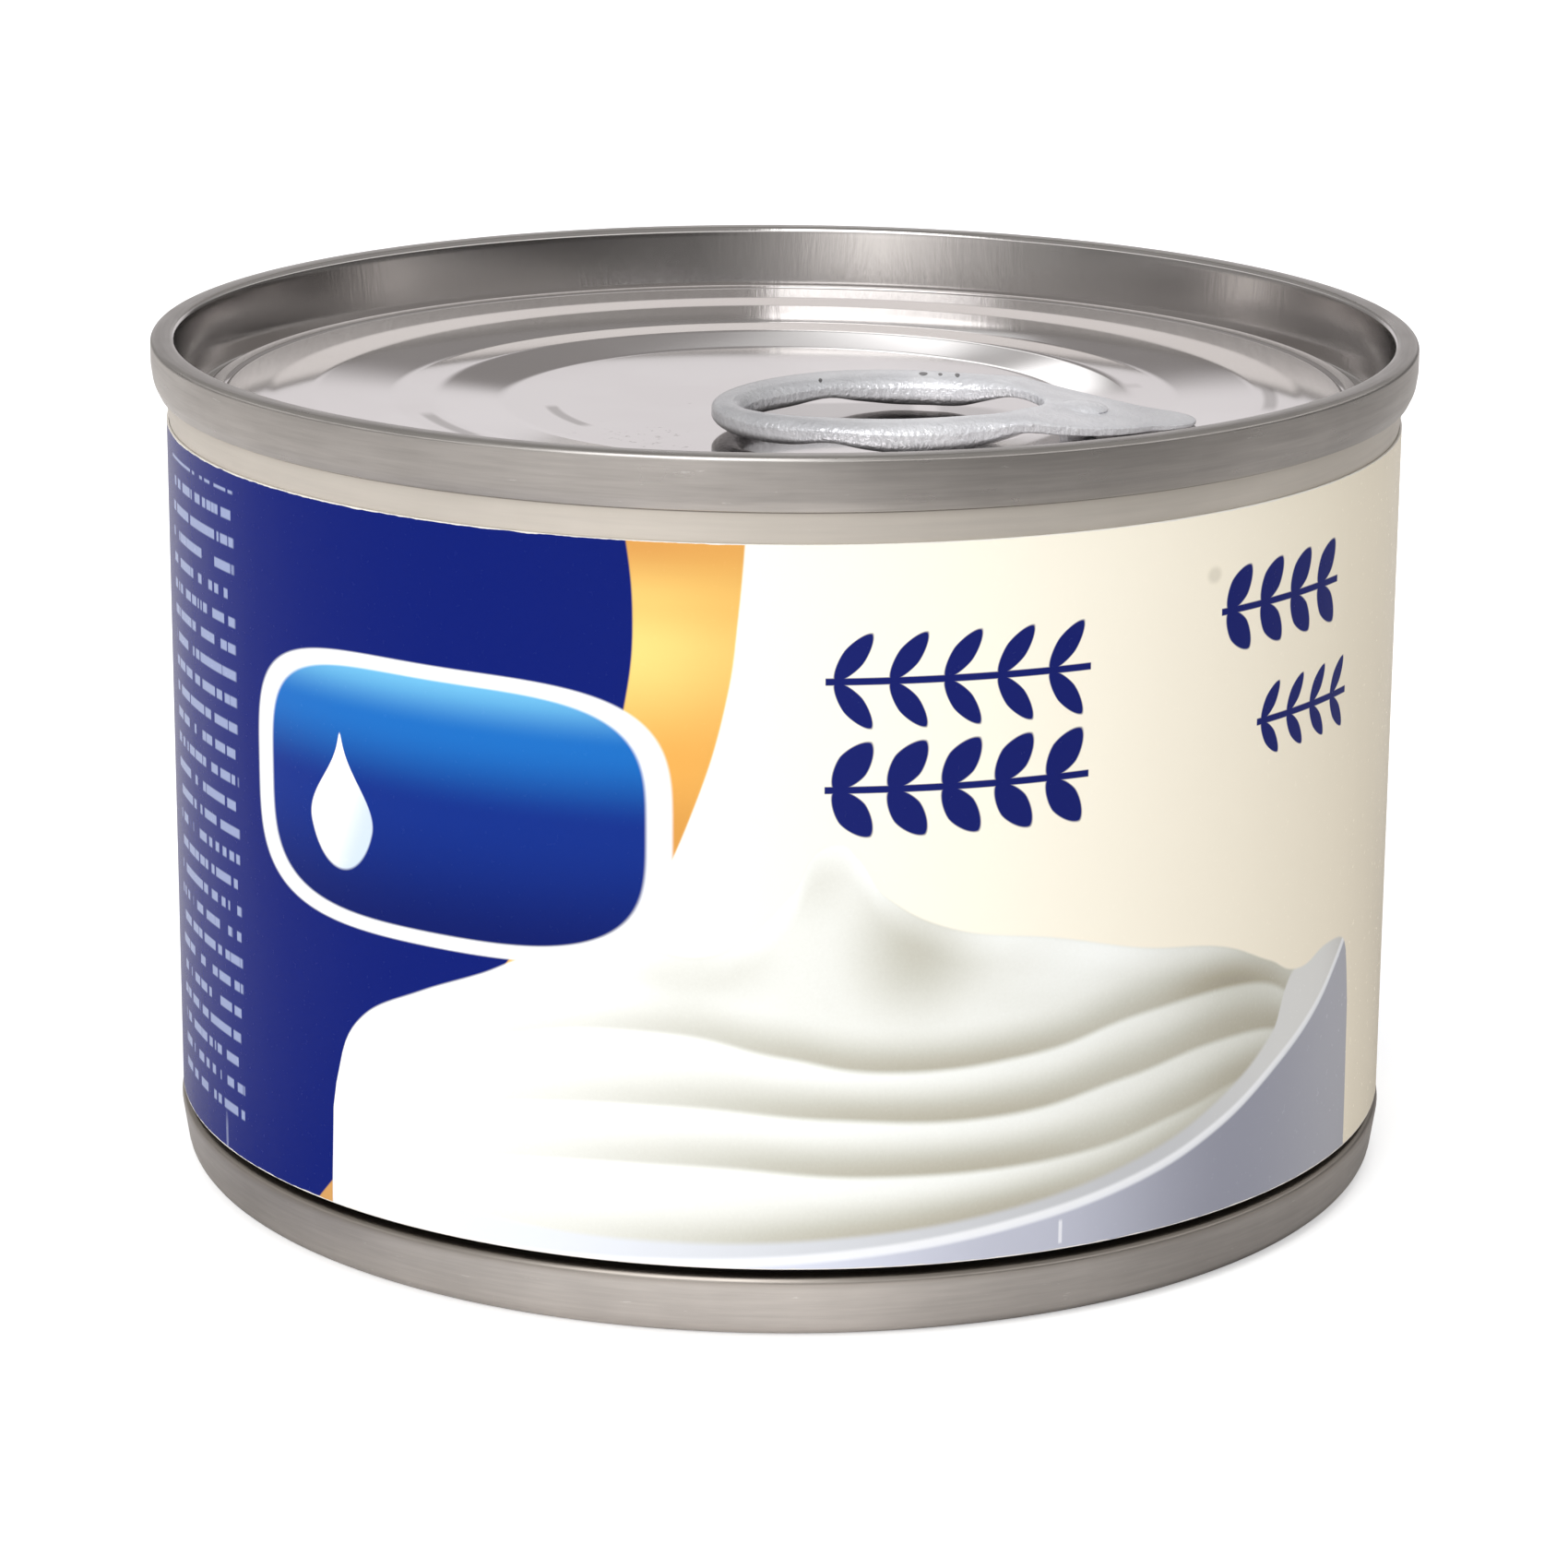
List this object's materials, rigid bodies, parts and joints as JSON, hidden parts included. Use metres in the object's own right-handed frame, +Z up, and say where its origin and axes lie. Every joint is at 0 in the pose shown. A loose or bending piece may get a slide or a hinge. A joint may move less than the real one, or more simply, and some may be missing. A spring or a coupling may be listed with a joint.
{
  "type": "food can",
  "caption": "Small round tin of table cream with a ring-pull lid, a recessed stacking base and a wrap-around printed paper label.",
  "frame": {"origin": "middle of the base seam's circle, on the surface the can stands on", "axes": "+Z up through the lid, -Y out through the front of the label, +X to the right of that front"},
  "size_m": [0.075, 0.075, 0.05],
  "materials": {
    "tinplate": "bright rolled tinplate, lightly scuffed",
    "lid_lacquer": "clear lacquer over tinplate",
    "label_paper": "glossy coated print in blue, gold and ivory",
    "tab_lacquer": "grey lacquer with a fine pebbled surface"
  },
  "bodies": {
    "root": {"can_body": "tinplate", "lid_end": "lid_lacquer", "base_end": "tinplate", "label": "label_paper", "pull_tab": "tab_lacquer", "rivet": "tab_lacquer"}
  },
  "joints": []
}
